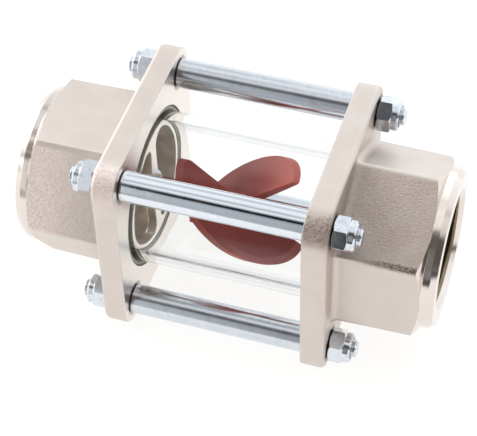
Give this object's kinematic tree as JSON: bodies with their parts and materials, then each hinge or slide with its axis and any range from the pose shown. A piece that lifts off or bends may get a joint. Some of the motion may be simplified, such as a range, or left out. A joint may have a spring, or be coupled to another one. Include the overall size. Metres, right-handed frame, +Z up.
{
  "type": "flow indicator",
  "caption": "In-line sight glass flow indicator with threaded pipe ends, a clear tube held by tie rods, and a spinning rotor.",
  "frame": {"origin": "centre of the glass tube, on the flow axis", "axes": "+X along the flow axis from inlet to outlet, +Z up, +Y away from the viewer"},
  "size_m": [0.178, 0.09, 0.09],
  "materials": {
    "cast_body": "matte nickel plated casting",
    "sight_glass": "clear",
    "seal": "matte",
    "plated_steel": "zinc plated",
    "nut_insert": "matte",
    "rotor_plastic": "satin",
    "axle_steel": "ground",
    "bearing": "smooth"
  },
  "bodies": {
    "housing": {"inlet_housing": "cast_body", "outlet_housing": "cast_body", "glass_tube": "sight_glass", "inlet_gasket": "seal", "outlet_gasket": "seal", "inlet_bush": "bearing", "outlet_bush": "bearing", "spacer_sleeve_1": "plated_steel", "spacer_sleeve_2": "plated_steel", "spacer_sleeve_3": "plated_steel", "spacer_sleeve_4": "plated_steel", "tie_stud_1": "plated_steel", "tie_stud_2": "plated_steel", "tie_stud_3": "plated_steel", "tie_stud_4": "plated_steel", "inlet_nut_1": "plated_steel", "inlet_nut_2": "plated_steel", "inlet_nut_3": "plated_steel", "inlet_nut_4": "plated_steel", "outlet_nut_1": "plated_steel", "outlet_nut_2": "plated_steel", "outlet_nut_3": "plated_steel", "outlet_nut_4": "plated_steel", "inlet_nut_ring_1": "nut_insert", "inlet_nut_ring_2": "nut_insert", "inlet_nut_ring_3": "nut_insert", "inlet_nut_ring_4": "nut_insert", "outlet_nut_ring_1": "nut_insert", "outlet_nut_ring_2": "nut_insert", "outlet_nut_ring_3": "nut_insert", "outlet_nut_ring_4": "nut_insert"},
    "rotor": {"rotor": "rotor_plastic", "rotor_axle": "axle_steel", "inlet_thrust_washer": "bearing", "outlet_thrust_washer": "bearing"}
  },
  "joints": [
    {"name": "rotor_spin", "type": "hinge", "parent": "housing", "child": "rotor", "pos_m": [0, 0, 0], "axis": [1, 0, 0], "continuous": true}
  ]
}
